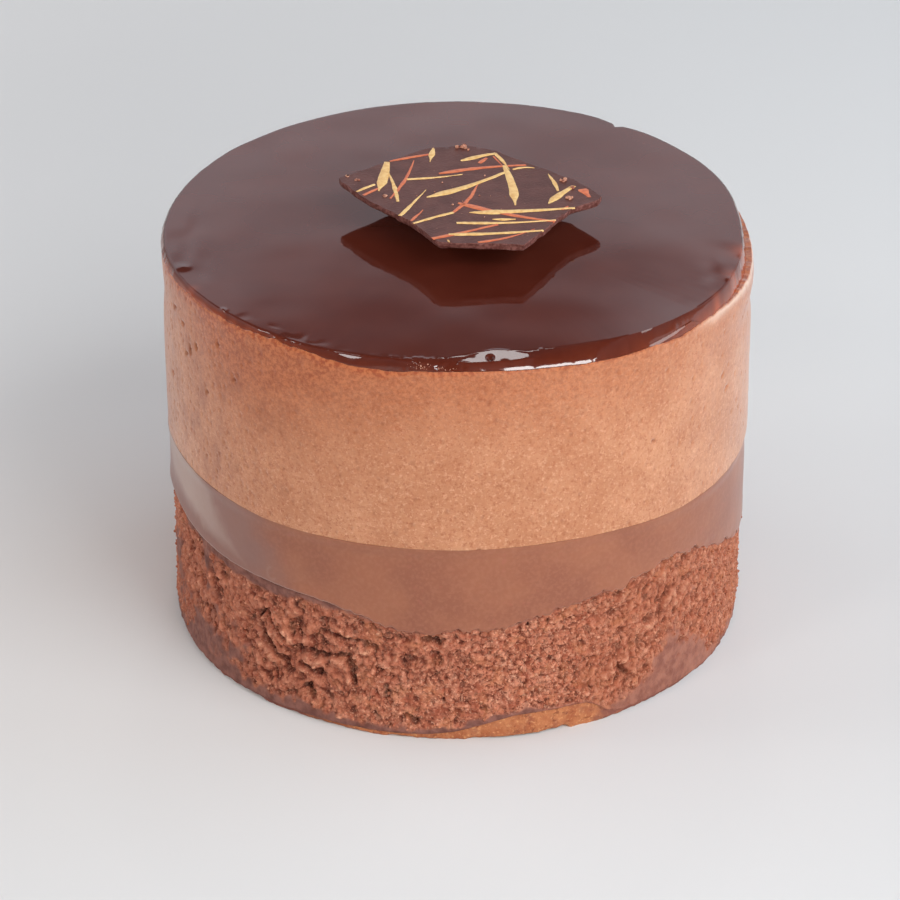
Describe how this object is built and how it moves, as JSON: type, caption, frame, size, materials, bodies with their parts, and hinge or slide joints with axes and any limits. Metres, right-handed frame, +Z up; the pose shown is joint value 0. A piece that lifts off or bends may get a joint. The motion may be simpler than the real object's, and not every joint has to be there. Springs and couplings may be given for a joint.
{
  "type": "chocolate mousse cake",
  "caption": "Small round layered mousse cake with cocoa sponge, chocolate cream and mousse, a dark mirror glaze and a broken chocolate plaque standing on top.",
  "frame": {"origin": "the middle of the round flat underside, on the surface that the cake stands on", "axes": "+Z up along the axis of the round cake; -Y towards the front, the side with the golden wedge of biscuit; +X to the right seen from the front"},
  "size_m": [0.0702, 0.0702, 0.055],
  "materials": {
    "biscuit": "golden baked biscuit, dry and slightly crumbly",
    "cocoa_sponge": "open cocoa sponge crumb, matt, with dark holes and paler crumbs",
    "cream": "smooth set chocolate cream with a satin sheen",
    "mousse": "aerated milk chocolate mousse, finely mottled, soft and matt",
    "mirror_glaze": "dark chocolate mirror glaze, wet and glossy, reddish at its thin rim",
    "ganache": "dark ganache with a soft satin gloss",
    "dark_chocolate": "tempered dark chocolate, satin, with thin streaks of yellow and orange cocoa butter"
  },
  "bodies": {
    "root": {"biscuit_base": "biscuit", "sponge": "cocoa_sponge", "chocolate_cream": "cream", "mousse": "mousse", "glaze": "mirror_glaze", "plaque_dot": "ganache", "plaque": "dark_chocolate"}
  },
  "joints": []
}
